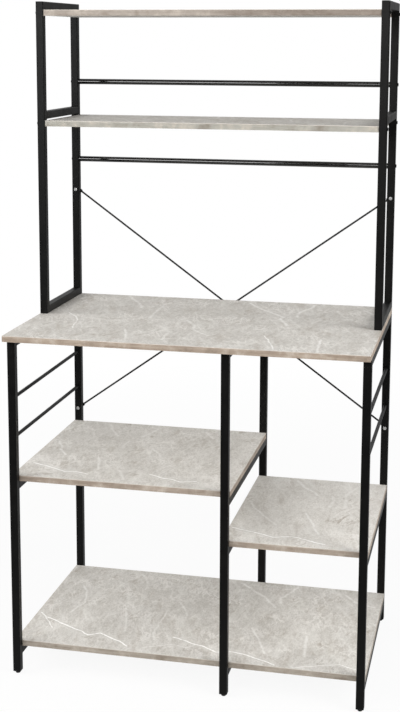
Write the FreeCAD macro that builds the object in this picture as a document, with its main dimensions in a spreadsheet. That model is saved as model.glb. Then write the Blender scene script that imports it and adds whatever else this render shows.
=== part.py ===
# Kitchen rack: three welded ladder frames of square tube carry a worktop and three lower shelves.
# A hutch of two closed side frames stands on the worktop and holds two narrower shelves.
# X runs to the right, Y to the back and Z up. The origin is on the floor, at the middle of the rack's box.
import FreeCAD, Part
import os
import Sketcher

doc = FreeCAD.newDocument("kitchen_rack")
dims = doc.addObject("Spreadsheet::Sheet", "Dims")

# Driving dimensions in millimetres. A bay is the clear height between two boards.
DIMENSIONS = [
    ("rack_width", 900),
    ("worktop_depth", 580),
    ("front_overhang", 32),
    ("floor_clearance", 69),
    ("left_lower_bay", 426),
    ("left_upper_bay", 355),
    ("right_lower_bay", 301),
    ("middle_frame_offset", 101),
    ("hutch_depth", 300),
    ("hutch_lower_bay", 494),
    ("hutch_upper_bay", 267),
    ("hutch_shelf_setback", 2),
    ("hutch_shelf_drop", 3),
    ("top_shelf_drop", 1),
    ("board_thickness", 15),
    ("board_clearance", 0.5),
    ("band_thickness", 1),
    ("tube_side", 20),
    ("tube_wall", 1),
    ("tube_corner", 2),
    ("rung_diameter", 9),
    ("rung_rise", 101),
    ("rung_spacing", 102),
    ("bar_diameter", 15),
    ("bar_wall", 1.5),
    ("bar_end_plug", 24),
    ("upper_bar_rise", 92),
    ("lower_bar_drop", 108),
    ("brace_diameter", 5),
    ("brace_gap", 0.4),
    ("brace_drop", 86),
    ("brace_rise", 36),
    ("tab_thickness", 2),
    ("tab_width", 10),
    ("tab_reach", 14),
    ("screw_diameter", 4),
    ("screw_head_diameter", 8),
    ("screw_head_height", 2.4),
    ("screw_grip", 10),
    ("screw_inset", 60),
    ("hutch_bolt_diameter", 6),
    ("hutch_bolt_head_diameter", 12),
    ("hutch_bolt_head_height", 3.4),
    ("hutch_bolt_inset", 58),
    ("hutch_nut_width", 10),
    ("hutch_nut_height", 5),
    ("post_bolt_diameter", 5),
    ("post_bolt_head_diameter", 9),
    ("post_bolt_head_height", 2.6),
    ("post_bolt_grip", 18),
    ("post_nut_width", 8),
    ("post_nut_height", 4),
    ("bolt_end", 1.5),
    ("hole_clearance", 0.3),
    ("recess_width", 1.2),
    ("recess_share", 0.6),
    ("foot_diameter", 12),
    ("foot_height", 6),
    ("foot_chamfer", 1),
    ("foot_seat_gap", 0.3),
    ("stud_diameter", 6),
    ("stud_length", 19),
    ("thread_clearance", 0.1),
    ("plug_flange", 2),
    ("plug_depth", 18),
    ("plug_clearance", 0.1),
]
for row, (alias, size) in enumerate(DIMENSIONS, start=1):
    dims.set(f"A{row}", alias)
    dims.set(f"B{row}", str(size))
    dims.setAlias(f"B{row}", alias)
doc.recompute()

# Places and sizes that follow from the driving dimensions, written as expressions.
TUBE_HALF = "(Dims.tube_side / 2)"
BORE_HALF = "(Dims.tube_side / 2 - Dims.tube_wall)"
BRACE_REACH = "(2 * (Dims.brace_diameter + Dims.brace_gap))"
FRONT_EDGE = f"(-(Dims.worktop_depth + {BRACE_REACH}) / 2)"
REAR_FACE = f"((Dims.worktop_depth - {BRACE_REACH}) / 2)"
SIDE_X = f"(Dims.rack_width / 2 - {TUBE_HALF})"
MIDDLE_X = "Dims.middle_frame_offset"
LEG_FRONT_Y = f"({FRONT_EDGE} + Dims.front_overhang + {TUBE_HALF})"
REAR_Y = f"({REAR_FACE} - {TUBE_HALF})"
RAIL_START = f"({LEG_FRONT_Y} + {TUBE_HALF})"
RAIL_LENGTH = f"({REAR_Y} - {LEG_FRONT_Y} - Dims.tube_side)"
BOTTOM_SHELF_TOP = "(Dims.floor_clearance + Dims.board_thickness)"
LEFT_SHELF_TOP = f"({BOTTOM_SHELF_TOP} + Dims.left_lower_bay + Dims.board_thickness)"
RIGHT_SHELF_TOP = f"({BOTTOM_SHELF_TOP} + Dims.right_lower_bay + Dims.board_thickness)"
WORKTOP_UNDER = f"({LEFT_SHELF_TOP} + Dims.left_upper_bay)"
WORKTOP_TOP = f"({WORKTOP_UNDER} + Dims.board_thickness)"
HUTCH_SHELF_TOP = f"({WORKTOP_TOP} + Dims.hutch_lower_bay + Dims.board_thickness)"
TOP_SHELF_TOP = f"({HUTCH_SHELF_TOP} + Dims.hutch_upper_bay + Dims.board_thickness)"
RACK_TOP = f"({TOP_SHELF_TOP} + Dims.top_shelf_drop + Dims.tube_side)"
LEG_BOTTOM = "(Dims.foot_height + Dims.foot_seat_gap + Dims.plug_flange)"
HUTCH_FRONT = f"({REAR_FACE} - Dims.hutch_depth)"
HUTCH_FRONT_Y = f"({HUTCH_FRONT} + {TUBE_HALF})"
HUTCH_RISE = f"({RACK_TOP} - {WORKTOP_TOP})"
HUTCH_INNER_X = "(Dims.rack_width / 2 - Dims.tube_side)"
HUTCH_BOLT_PLACES = [
    f"({HUTCH_FRONT} + Dims.hutch_bolt_inset)",
    f"({REAR_FACE} - Dims.hutch_bolt_inset)",
]
SCREW_PLACES = [
    f"({RAIL_START} + Dims.screw_inset)",
    f"({RAIL_START} + {RAIL_LENGTH} - Dims.screw_inset)",
]
LOWER_RUNG = f"({LEFT_SHELF_TOP} + Dims.rung_rise)"
RUNGS = {"lower": LOWER_RUNG, "upper": f"({LOWER_RUNG} + Dims.rung_spacing)"}
LOWER_BAR = f"({HUTCH_SHELF_TOP} - Dims.board_thickness - Dims.lower_bar_drop)"
BARS = {"lower": LOWER_BAR, "upper": f"({HUTCH_SHELF_TOP} + Dims.upper_bar_rise)"}
BRACE_HIGH = f"({LOWER_BAR} - Dims.brace_drop)"
BRACE_LOW = f"({LEFT_SHELF_TOP} + Dims.brace_rise)"
BRACE_SPAN = f"sqrt((2 * {SIDE_X}) ^ 2 + ({BRACE_HIGH} - {BRACE_LOW}) ^ 2)"
BRACE_SLOPE = f"atan(({BRACE_HIGH} - {BRACE_LOW}) / (2 * {SIDE_X}))"
FRAMES = {"left": f"-{SIDE_X}", "middle": MIDDLE_X, "right": SIDE_X}
SIDES = {"left": f"-{SIDE_X}", "right": SIDE_X}

ALONG_X = FreeCAD.Rotation(FreeCAD.Vector(0, 1, 0), 90)
AGAINST_X = FreeCAD.Rotation(FreeCAD.Vector(0, 1, 0), -90)
ALONG_Y = FreeCAD.Rotation(FreeCAD.Vector(1, 0, 0), -90)
UPRIGHT = FreeCAD.Rotation()
nodes = []


def number(expression):
    """The value that an expression has now, for a sketch's starting geometry."""
    return float(dims.evalExpression(expression))


def bind(piece, **sizes):
    """Ties properties of an object to expressions."""
    for name, expression in sizes.items():
        piece.setExpression(name, expression)


def place(piece, x, y, z, turn=UPRIGHT):
    """Puts an object's origin at three expressions, turned as given."""
    piece.Placement.Rotation = turn
    for axis, expression in zip("xyz", (x, y, z)):
        piece.setExpression(f"Placement.Base.{axis}", expression)


def keep(piece, label):
    """Names an object as a sub-part that is written to its own file."""
    piece.Label = label
    nodes.append(piece)


def sketch_on(body, role):
    """A sketch on one of a body's own origin planes."""
    sketch = body.newObject("Sketcher::SketchObject", f"{body.Name}_sketch")
    sketch.AttachmentSupport = [(next(f for f in body.Origin.OriginFeatures if f.Role == role), "")]
    sketch.MapMode = "FlatFace"
    return sketch


def dimension(sketch, constraint, expression):
    """Adds a constraint to a sketch and ties its value to an expression."""
    index = sketch.addConstraint(constraint)
    sketch.setExpression(f"Constraints[{index}]", expression)


def pin(sketch, geometry, point, across, up):
    """Holds one point of a sketch at two expressions from the sketch's origin."""
    dimension(sketch, Sketcher.Constraint("DistanceX", -1, 1, geometry, point, number(across)), across)
    dimension(sketch, Sketcher.Constraint("DistanceY", -1, 1, geometry, point, number(up)), up)


def polygon(sketch, corners):
    """A closed outline through corners that are pairs of expressions."""
    points = [FreeCAD.Vector(number(across), number(up), 0) for across, up in corners]
    first = sketch.GeometryCount
    count = len(points)
    for i in range(count):
        sketch.addGeometry(Part.LineSegment(points[i], points[(i + 1) % count]))
    for i in range(count):
        sketch.addConstraint(Sketcher.Constraint("Coincident", first + i, 2, first + (i + 1) % count, 1))
        pin(sketch, first + i, 1, *corners[i])


def square(sketch, half):
    """A square outline about a sketch's origin."""
    polygon(sketch, [(f"-{half}", f"-{half}"), (half, f"-{half}"), (half, half), (f"-{half}", half)])


def pad(body, sketch, length):
    """Extrudes a sketch of a body."""
    feature = body.newObject("PartDesign::Pad", f"{body.Name}_pad")
    feature.Profile = sketch
    bind(feature, Length=length)
    return feature


def cut_through(body, sketch, side="Symmetric"):
    """Cuts a sketch right through a body, to both sides of its plane or to one."""
    pocket = body.newObject("PartDesign::Pocket", f"{body.Name}_cut")
    pocket.Profile = sketch
    pocket.Type = "ThroughAll"
    pocket.SideType = side
    return pocket


def drill(body, role, diameter, centres, side="Symmetric"):
    """Round holes through a body, square to one of its origin planes."""
    sketch = sketch_on(body, role)
    for across, up in centres:
        middle = FreeCAD.Vector(number(across), number(up), 0)
        hole = sketch.addGeometry(Part.Circle(middle, FreeCAD.Vector(0, 0, 1), number(diameter) / 2))
        dimension(sketch, Sketcher.Constraint("Diameter", hole, number(diameter)), diameter)
        pin(sketch, hole, 3, across, up)
    cut_through(body, sketch, side)


def square_tube(name, length):
    """A square tube along its own +Z, with rounded outer corners."""
    body = doc.addObject("PartDesign::Body", name)
    section = sketch_on(body, "XY_Plane")
    square(section, TUBE_HALF)
    square(section, BORE_HALF)
    stock = pad(body, section, length)
    doc.recompute()
    corners = []
    for i, edge in enumerate(stock.Shape.Edges, start=1):
        middle = edge.CenterOfMass
        along = abs(edge.tangentAt(edge.FirstParameter).z) > 0.5
        if along and abs(abs(middle.x) - number(TUBE_HALF)) < number("Dims.tube_wall") / 2:
            corners.append(f"Edge{i}")
    rounding = body.newObject("PartDesign::Fillet", f"{name}_corners")
    rounding.Base = (stock, corners)
    bind(rounding, Radius="Dims.tube_corner")
    return body


def mitre(body, length, inner_side):
    """Cuts both ends of a tube at 45 degrees, shortest on its +Y side (inner_side 1) or its -Y side (-1)."""
    near = f"{-inner_side} * {TUBE_HALF}"
    far = f"{inner_side} * {TUBE_HALF}"
    for end, step in (("0", "Dims.tube_side"), (length, f"{length} - Dims.tube_side")):
        sketch = sketch_on(body, "YZ_Plane")
        polygon(sketch, [(near, end), (far, end), (far, step)])
        cut_through(body, sketch)


def cylinder(name, diameter, length):
    """A round bar along its own +Z."""
    bar = doc.addObject("Part::Cylinder", name)
    bind(bar, Radius=f"{diameter} / 2", Height=length)
    return bar


def box(name, length, width, height):
    """A rectangular block from its own lowest corner."""
    block = doc.addObject("Part::Box", name)
    bind(block, Length=length, Width=width, Height=height)
    return block


def cut(name, base, tools):
    """What is left of a piece after several tools are taken from it."""
    group = doc.addObject("Part::Compound", f"{name}_tools")
    group.Links = tools
    result = doc.addObject("Part::Cut", name)
    result.Base = base
    result.Tool = group
    return result


# Legs: each has a plug with a thread in its bottom end, and the outer rear legs take a brace bolt.
LEG_LENGTH = f"({WORKTOP_UNDER} - {LEG_BOTTOM})"
BOLT_HOLE = "(Dims.post_bolt_diameter + Dims.hole_clearance)"
LEG_ROWS = {"front": LEG_FRONT_Y, "rear": REAR_Y}
for frame, x in FRAMES.items():
    for row, y in LEG_ROWS.items():
        leg = square_tube(f"{frame}_{row}_leg", LEG_LENGTH)
        if row == "rear" and frame in SIDES:
            drill(leg, "XZ_Plane", BOLT_HOLE, [("0", f"{BRACE_LOW} - {LEG_BOTTOM}")])
        place(leg, x, y, LEG_BOTTOM)
        keep(leg, f"{frame}_{row}_leg")

# Rails under the boards: front to back between the legs, with holes for what comes up through them.
SCREW_HOLE = "(Dims.screw_diameter + Dims.hole_clearance)"
HUTCH_BOLT_HOLE = "(Dims.hutch_bolt_diameter + Dims.hole_clearance)"
RAILS = {
    "left_frame_top_rail": ("left", WORKTOP_TOP),
    "middle_frame_top_rail": ("middle", WORKTOP_TOP),
    "right_frame_top_rail": ("right", WORKTOP_TOP),
    "left_frame_shelf_rail": ("left", LEFT_SHELF_TOP),
    "middle_frame_left_shelf_rail": ("middle", LEFT_SHELF_TOP),
    "middle_frame_right_shelf_rail": ("middle", RIGHT_SHELF_TOP),
    "right_frame_shelf_rail": ("right", RIGHT_SHELF_TOP),
    "left_frame_bottom_rail": ("left", BOTTOM_SHELF_TOP),
    "middle_frame_bottom_rail": ("middle", BOTTOM_SHELF_TOP),
    "right_frame_bottom_rail": ("right", BOTTOM_SHELF_TOP),
}
screw_spots = []
for label, (frame, board_top) in RAILS.items():
    rail = square_tube(label, RAIL_LENGTH)
    bolted = board_top == WORKTOP_TOP and frame in SIDES
    screw_rows = SCREW_PLACES[:1] if bolted else SCREW_PLACES
    drill(rail, "XZ_Plane", SCREW_HOLE, [("0", f"{y} - {RAIL_START}") for y in screw_rows])
    if bolted:
        drill(rail, "XZ_Plane", HUTCH_BOLT_HOLE, [("0", f"{y} - {RAIL_START}") for y in HUTCH_BOLT_PLACES])
    place(rail, FRAMES[frame], RAIL_START, f"{board_top} - Dims.board_thickness - {TUBE_HALF}", ALONG_Y)
    keep(rail, label)
    screw_spots += [(FRAMES[frame], y, board_top) for y in screw_rows]

# Rungs: plain round bars welded between the legs of the side frames.
for frame, x in SIDES.items():
    for level, z in RUNGS.items():
        rung = cylinder(f"{frame}_{level}_rung", "Dims.rung_diameter", RAIL_LENGTH)
        place(rung, x, RAIL_START, z, ALONG_Y)
        keep(rung, f"{frame}_{level}_rung")

# Hutch side frames: two posts and two end rails mitred into a rectangle, with a rail across the middle.
SHELF_BOLTS = [f"({top} - Dims.board_thickness / 2)" for top in (HUTCH_SHELF_TOP, TOP_SHELF_TOP)]
POST_ROWS = {"front": (HUTCH_FRONT_Y, 1), "rear": (REAR_Y, -1)}
END_RAILS = {
    "bottom": (f"{WORKTOP_TOP} + {TUBE_HALF}", -1),
    "top": (f"{RACK_TOP} - {TUBE_HALF}", 1),
}
for side, x in SIDES.items():
    for row, (y, inner_side) in POST_ROWS.items():
        post = square_tube(f"hutch_{side}_{row}_post", HUTCH_RISE)
        mitre(post, HUTCH_RISE, inner_side)
        levels = SHELF_BOLTS + (list(BARS.values()) if row == "rear" else [])
        drill(post, "YZ_Plane", BOLT_HOLE, [("0", f"{z} - {WORKTOP_TOP}") for z in levels])
        if row == "rear":
            drill(post, "XZ_Plane", BOLT_HOLE, [("0", f"{BRACE_HIGH} - {WORKTOP_TOP}")])
        place(post, x, y, WORKTOP_TOP)
        keep(post, f"hutch_{side}_{row}_post")
    for level, (z, inner_side) in END_RAILS.items():
        rail = square_tube(f"hutch_{side}_{level}_rail", "Dims.hutch_depth")
        mitre(rail, "Dims.hutch_depth", inner_side)
        if level == "bottom":
            spots = [("0", f"{y} - {HUTCH_FRONT}") for y in HUTCH_BOLT_PLACES]
            drill(rail, "XZ_Plane", HUTCH_BOLT_HOLE, spots, "One side")
        place(rail, x, HUTCH_FRONT, z, ALONG_Y)
        keep(rail, f"hutch_{side}_{level}_rail")
    rail = square_tube(f"hutch_{side}_middle_rail", "Dims.hutch_depth - 2 * Dims.tube_side")
    level = f"{HUTCH_SHELF_TOP} + Dims.hutch_shelf_drop + {TUBE_HALF}"
    place(rail, x, f"{HUTCH_FRONT} + Dims.tube_side", level, ALONG_Y)
    keep(rail, f"hutch_{side}_middle_rail")

# Boards: a laminated core inside a thin edge band. Each row gives the outer left, right, front and back
# faces and the top height. Screws enter the lower boards from below, bolts the hutch boards from the ends.
SHELF_FRONT = f"({RAIL_START} + Dims.board_clearance)"
SHELF_BACK = f"({RAIL_START} + {RAIL_LENGTH} - Dims.board_clearance)"
OUTER = "Dims.rack_width / 2"
HUTCH_END = f"({HUTCH_INNER_X} - Dims.board_clearance)"
HUTCH_BOARD = (
    f"-{HUTCH_END}",
    HUTCH_END,
    f"({HUTCH_FRONT} + Dims.hutch_shelf_setback)",
    f"({REAR_FACE} - Dims.hutch_shelf_setback)",
)
MIDDLE_LEFT = f"({MIDDLE_X} - {TUBE_HALF})"
MIDDLE_RIGHT = f"({MIDDLE_X} + {TUBE_HALF})"
BOARDS = {
    "worktop": (f"-{OUTER}", OUTER, FRONT_EDGE, REAR_FACE, WORKTOP_TOP),
    "left_shelf": (f"-{OUTER}", MIDDLE_RIGHT, SHELF_FRONT, SHELF_BACK, LEFT_SHELF_TOP),
    "right_shelf": (MIDDLE_LEFT, OUTER, SHELF_FRONT, SHELF_BACK, RIGHT_SHELF_TOP),
    "bottom_shelf": (f"-{OUTER}", OUTER, SHELF_FRONT, SHELF_BACK, BOTTOM_SHELF_TOP),
    "hutch_middle_shelf": HUTCH_BOARD + (HUTCH_SHELF_TOP,),
    "hutch_top_shelf": HUTCH_BOARD + (TOP_SHELF_TOP,),
}
END_HOLE_DEPTH = "(Dims.post_bolt_grip + Dims.bolt_end)"


def screw_holes(label, top):
    """Blind holes in a board's underside, over its rails."""
    holes = []
    for x, y, board_top in screw_spots:
        if board_top == top:
            hole = cylinder(f"{label}_screw_hole", SCREW_HOLE, "Dims.screw_grip + Dims.bolt_end")
            place(hole, x, y, f"{top} - Dims.board_thickness")
            holes.append(hole)
    return holes


def bolt_holes(label, top):
    """Holes right through the worktop for the bolts that hold the hutch."""
    holes = []
    for x in SIDES.values():
        for y in HUTCH_BOLT_PLACES:
            hole = cylinder(f"{label}_bolt_hole", HUTCH_BOLT_HOLE, "Dims.board_thickness")
            place(hole, x, y, f"{top} - Dims.board_thickness")
            holes.append(hole)
    return holes


def end_holes(label, top):
    """Blind holes in a hutch board's two ends, in line with the posts."""
    holes = []
    for x, turn in ((f"-{HUTCH_END}", ALONG_X), (HUTCH_END, AGAINST_X)):
        for y, _ in POST_ROWS.values():
            hole = cylinder(f"{label}_end_hole", BOLT_HOLE, END_HOLE_DEPTH)
            place(hole, x, y, f"{top} - Dims.board_thickness / 2", turn)
            holes.append(hole)
    return holes


for label, (left, right, front, back, top) in BOARDS.items():
    under = f"{top} - Dims.board_thickness"
    width, depth = f"({right} - ({left}))", f"({back} - ({front}))"
    in_hutch = label.startswith("hutch")
    core = box(f"{label}_core", f"{width} - 2 * Dims.band_thickness", f"{depth} - 2 * Dims.band_thickness",
               "Dims.board_thickness")
    place(core, f"{left} + Dims.band_thickness", f"{front} + Dims.band_thickness", under)
    outline = box(f"{label}_outline", width, depth, "Dims.board_thickness")
    place(outline, left, front, under)
    if in_hutch:
        core_cuts, band_cuts = end_holes(label, top), end_holes(label, top)
    elif label == "worktop":
        core_cuts, band_cuts = screw_holes(label, top) + bolt_holes(label, top), []
    else:
        core_cuts, band_cuts = screw_holes(label, top), []
    keep(cut(label, core, core_cuts), label)
    inside = box(f"{label}_inside", f"{width} - 2 * Dims.band_thickness",
                 f"{depth} - 2 * Dims.band_thickness", "Dims.board_thickness")
    place(inside, f"{left} + Dims.band_thickness", f"{front} + Dims.band_thickness", under)
    keep(cut(f"{label}_edge_band", outline, [inside] + band_cuts), f"{label}_edge_band")

# Back bars: round tubes between the rear posts of the hutch, closed at each end by a threaded plug.
BAR_LENGTH = f"(2 * {HUTCH_INNER_X})"
for level, z in BARS.items():
    skin = cylinder(f"{level}_bar_skin", "Dims.bar_diameter", BAR_LENGTH)
    bore = cylinder(f"{level}_bar_bore", "(Dims.bar_diameter - 2 * Dims.bar_wall)",
                    f"{BAR_LENGTH} - 2 * Dims.bar_end_plug")
    place(bore, "0", "0", "Dims.bar_end_plug")
    thread = cylinder(f"{level}_bar_thread", BOLT_HOLE, BAR_LENGTH)
    bar = cut(f"{level}_back_bar", skin, [bore, thread])
    place(bar, f"-{HUTCH_INNER_X}", REAR_Y, z, ALONG_X)
    keep(bar, f"{level}_back_bar")

# Cross braces: thin rods with flattened ends. The falling one is straight, and the rising one is sprung
# at its middle to pass behind it.
ROD_CHORD = f"({BRACE_SPAN} - 2 * Dims.tab_reach + 2 * Dims.tab_thickness)"
ROD_AXIS = "(Dims.brace_gap + Dims.brace_diameter / 2)"
SPRING = "(Dims.brace_diameter + Dims.brace_gap)"
SPRING_ANGLE = f"atan(2 * {SPRING} / {ROD_CHORD})"
HALF_ROD = f"sqrt({ROD_CHORD} ^ 2 / 4 + {SPRING} ^ 2)"


def brace_tabs(name):
    """The two flattened ends of a rod that lies along X, and the holes through them."""
    plates, holes = [], []
    for end in (-1, 1):
        centre = f"{end} * {BRACE_SPAN} / 2"
        eye = cylinder(f"{name}_eye", "Dims.tab_width", "Dims.tab_thickness")
        place(eye, centre, "0", "0", ALONG_Y)
        plate = box(f"{name}_plate", "Dims.tab_reach", "Dims.tab_thickness", "Dims.tab_width")
        start = centre if end < 0 else f"{centre} - Dims.tab_reach"
        place(plate, start, "0", "-Dims.tab_width / 2")
        hole = cylinder(f"{name}_hole", BOLT_HOLE, "Dims.tab_thickness")
        place(hole, centre, "0", "0", ALONG_Y)
        plates += [eye, plate]
        holes.append(hole)
    return plates, holes


def sprung_rod():
    """Two straight halves that lean back to the middle and meet on the plane between them."""
    half = cylinder("rising_rod_half", "Dims.brace_diameter", f"{HALF_ROD} + Dims.brace_diameter")
    place(half, "-Dims.brace_diameter", "0", "0", ALONG_X)
    leaning = doc.addObject("Part::Compound", "rising_rod_leaning")
    leaning.Links = [half]
    middle_y = f"({ROD_AXIS} + {SPRING})"
    place(leaning, "0", middle_y, "0", FreeCAD.Rotation(FreeCAD.Vector(0, 0, -1), number(SPRING_ANGLE)))
    leaning.setExpression("Placement.Rotation.Angle", SPRING_ANGLE)
    waste_side = "2 * Dims.brace_diameter"
    waste = box("rising_rod_waste", waste_side, waste_side, waste_side)
    place(waste, f"-{waste_side}", f"{middle_y} - Dims.brace_diameter", "-Dims.brace_diameter")
    right_half = cut("rising_rod_right", leaning, [waste])
    left_half = doc.addObject("Part::Mirroring", "rising_rod_left")
    left_half.Source = right_half
    left_half.Normal = FreeCAD.Vector(1, 0, 0)
    return [right_half, left_half]


straight_rod = cylinder("falling_rod", "Dims.brace_diameter", ROD_CHORD)
place(straight_rod, f"-{ROD_CHORD} / 2", ROD_AXIS, "0", ALONG_X)
for name, rod, lean in (("falling_brace", [straight_rod], 1), ("rising_brace", sprung_rod(), -1)):
    plates, holes = brace_tabs(name)
    blank = doc.addObject("Part::MultiFuse", f"{name}_blank")
    blank.Shapes = rod + plates
    brace = cut(name, blank, holes)
    turn = FreeCAD.Rotation(FreeCAD.Vector(0, lean, 0), number(BRACE_SLOPE))
    place(brace, "0", REAR_FACE, f"({BRACE_HIGH} + {BRACE_LOW}) / 2", turn)
    brace.setExpression("Placement.Rotation.Angle", BRACE_SLOPE)
    keep(brace, name)


# Fasteners: one pattern of each kind, linked to every place where it sits.
def headed_fastener(name, diameter, length, head_diameter, head_height):
    """A pan-head screw or bolt along +Z from under its head, with a cross recess."""
    body = doc.addObject("PartDesign::Body", name)
    head = sketch_on(body, "XY_Plane")
    disc = head.addGeometry(Part.Circle(FreeCAD.Vector(), FreeCAD.Vector(0, 0, 1), number(head_diameter) / 2))
    dimension(head, Sketcher.Constraint("Diameter", disc, number(head_diameter)), head_diameter)
    pin(head, disc, 3, "0", "0")
    cap = pad(body, head, head_height)
    cap.Reversed = True
    doc.recompute()
    rim = [f"Edge{i}" for i, edge in enumerate(cap.Shape.Edges, start=1)
           if edge.Closed and edge.CenterOfMass.z < -number(head_height) / 2]
    rounding = body.newObject("PartDesign::Fillet", f"{name}_rim")
    rounding.Base = (cap, rim)
    bind(rounding, Radius=f"{head_height} / 2")
    shank = sketch_on(body, "XY_Plane")
    disc = shank.addGeometry(Part.Circle(FreeCAD.Vector(), FreeCAD.Vector(0, 0, 1), number(diameter) / 2))
    dimension(shank, Sketcher.Constraint("Diameter", disc, number(diameter)), diameter)
    pin(shank, disc, 3, "0", "0")
    pad(body, shank, length)
    for plane in ("XZ_Plane", "YZ_Plane"):
        slot = sketch_on(body, plane)
        reach = f"({head_diameter} * Dims.recess_share / 2)"
        floor = f"(-{head_height} * Dims.recess_share)"
        polygon(slot, [(f"-{reach}", f"-{head_height}"), (reach, f"-{head_height}"),
                       (reach, floor), (f"-{reach}", floor)])
        groove = body.newObject("PartDesign::Pocket", f"{name}_recess")
        groove.Profile = slot
        groove.SideType = "Symmetric"
        bind(groove, Length="Dims.recess_width")
    return body


def hex_nut(name, width, height, thread):
    """A hexagon nut along +Z from its seat."""
    body = doc.addObject("PartDesign::Body", name)
    sketch = sketch_on(body, "XY_Plane")
    half, tip = f"({width} / 2)", f"({width} / sqrt(3))"
    polygon(sketch, [(tip, "0"), (f"{tip} / 2", half), (f"-{tip} / 2", half),
                     (f"-{tip}", "0"), (f"-{tip} / 2", f"-{half}"), (f"{tip} / 2", f"-{half}")])
    pad(body, sketch, height)
    drill(body, "XY_Plane", f"({thread} + Dims.thread_clearance)", [("0", "0")])
    return body


def spread(label, pattern, spots):
    """A group of separate copies of one fastener, at spots that give x, y, z and the way it points."""
    copies = []
    for x, y, z, turn in spots:
        copy = doc.addObject("App::Link", f"{label}_copy")
        copy.LinkedObject = pattern
        place(copy, x, y, z, turn)
        copies.append(copy)
    group = doc.addObject("Part::Compound", label)
    group.Links = copies
    keep(group, label)


POST_HEAD = ("Dims.post_bolt_head_diameter", "Dims.post_bolt_head_height")
board_screw = headed_fastener("board_screw", "Dims.screw_diameter", "Dims.tube_side + Dims.screw_grip",
                              "Dims.screw_head_diameter", "Dims.screw_head_height")
spread("board_screws", board_screw, [
    (x, y, f"{top} - Dims.board_thickness - Dims.tube_side", UPRIGHT) for x, y, top in screw_spots])

HUTCH_STACK = "Dims.tube_side + Dims.board_thickness + Dims.tube_wall"
hutch_bolt = headed_fastener("hutch_bolt", "Dims.hutch_bolt_diameter",
                             f"{HUTCH_STACK} + Dims.hutch_nut_height + Dims.bolt_end",
                             "Dims.hutch_bolt_head_diameter", "Dims.hutch_bolt_head_height")
hutch_nut = hex_nut("hutch_nut", "Dims.hutch_nut_width", "Dims.hutch_nut_height", "Dims.hutch_bolt_diameter")
hutch_spots = [(x, y) for x in SIDES.values() for y in HUTCH_BOLT_PLACES]
spread("hutch_bolts", hutch_bolt, [
    (x, y, f"{WORKTOP_UNDER} - Dims.tube_side", UPRIGHT) for x, y in hutch_spots])
spread("hutch_nuts", hutch_nut, [
    (x, y, f"{WORKTOP_TOP} + Dims.tube_wall", UPRIGHT) for x, y in hutch_spots])

post_bolt = headed_fastener("post_bolt", "Dims.post_bolt_diameter", "Dims.tube_side + Dims.post_bolt_grip",
                            *POST_HEAD)
post_places = [(y, z) for y, _ in POST_ROWS.values() for z in SHELF_BOLTS]
post_places += [(REAR_Y, z) for z in BARS.values()]
spread("post_bolts", post_bolt, [
    (x, y, z, turn) for x, turn in ((f"-{OUTER}", ALONG_X), (OUTER, AGAINST_X)) for y, z in post_places])

brace_bolt = headed_fastener("brace_bolt", "Dims.post_bolt_diameter",
                             "Dims.tube_side + Dims.tab_thickness + Dims.post_nut_height + Dims.bolt_end",
                             *POST_HEAD)
brace_nut = hex_nut("brace_nut", "Dims.post_nut_width", "Dims.post_nut_height", "Dims.post_bolt_diameter")
brace_spots = [(x, z) for x in SIDES.values() for z in (BRACE_HIGH, BRACE_LOW)]
spread("brace_bolts", brace_bolt, [
    (x, f"{REAR_FACE} - Dims.tube_side", z, ALONG_Y) for x, z in brace_spots])
spread("brace_nuts", brace_nut, [
    (x, f"{REAR_FACE} + Dims.tab_thickness", z, ALONG_Y) for x, z in brace_spots])

# Leg plugs: square plastic plugs with a flange under the tube and a thread for the foot.
leg_plug = doc.addObject("PartDesign::Body", "leg_plug")
flange = sketch_on(leg_plug, "XY_Plane")
square(flange, TUBE_HALF)
pad(leg_plug, flange, "Dims.plug_flange")
stem = sketch_on(leg_plug, "XY_Plane")
square(stem, f"({BORE_HALF} - Dims.plug_clearance)")
pad(leg_plug, stem, "Dims.plug_flange + Dims.plug_depth")
drill(leg_plug, "XY_Plane", "(Dims.stud_diameter + Dims.thread_clearance)", [("0", "0")])
leg_spots = [(frame, row) for frame in FRAMES for row in LEG_ROWS]
spread("leg_plugs", leg_plug, [
    (FRAMES[frame], LEG_ROWS[row], f"{LEG_BOTTOM} - Dims.plug_flange", UPRIGHT) for frame, row in leg_spots])

# Levelling feet: a round pad on a threaded stud, screwed right in at rest.
for frame, row in leg_spots:
    foot = doc.addObject("PartDesign::Body", f"{frame}_{row}_foot")
    profile = sketch_on(foot, "XZ_Plane")
    rim, slope = "Dims.foot_diameter / 2", "(Dims.foot_diameter / 2 - Dims.foot_chamfer)"
    stud = "Dims.stud_diameter / 2"
    polygon(profile, [("0", "0"), (slope, "0"), (rim, "Dims.foot_chamfer"), (rim, "Dims.foot_height"),
                      (stud, "Dims.foot_height"), (stud, "Dims.foot_height + Dims.stud_length"),
                      ("0", "Dims.foot_height + Dims.stud_length")])
    turned = foot.newObject("PartDesign::Revolution", f"{foot.Name}_turned")
    turned.Profile = profile
    turned.ReferenceAxis = (profile, ["V_Axis"])
    turned.Angle = 360
    place(foot, FRAMES[frame], LEG_ROWS[row], "0")
    keep(foot, f"{frame}_{row}_foot")

# Check everything, then write one file for each sub-part.
doc.recompute()
for piece in doc.Objects:
    if "Invalid" in piece.State or "Error" in piece.State:
        raise RuntimeError(f"{piece.Label} failed: {piece.State}")
os.makedirs("parts", exist_ok=True)
for piece in nodes:
    if piece.Shape.isNull() or not piece.Shape.isValid():
        raise RuntimeError(f"{piece.Label} has no valid shape")
for piece in nodes:
    piece.Shape.exportStep(f"parts/{piece.Label}.step")
    print(piece.Label, len(piece.Shape.Solids), "solids", round(piece.Shape.Volume), "mm3")
print(len(nodes), "sub-parts")
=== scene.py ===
import math

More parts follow.
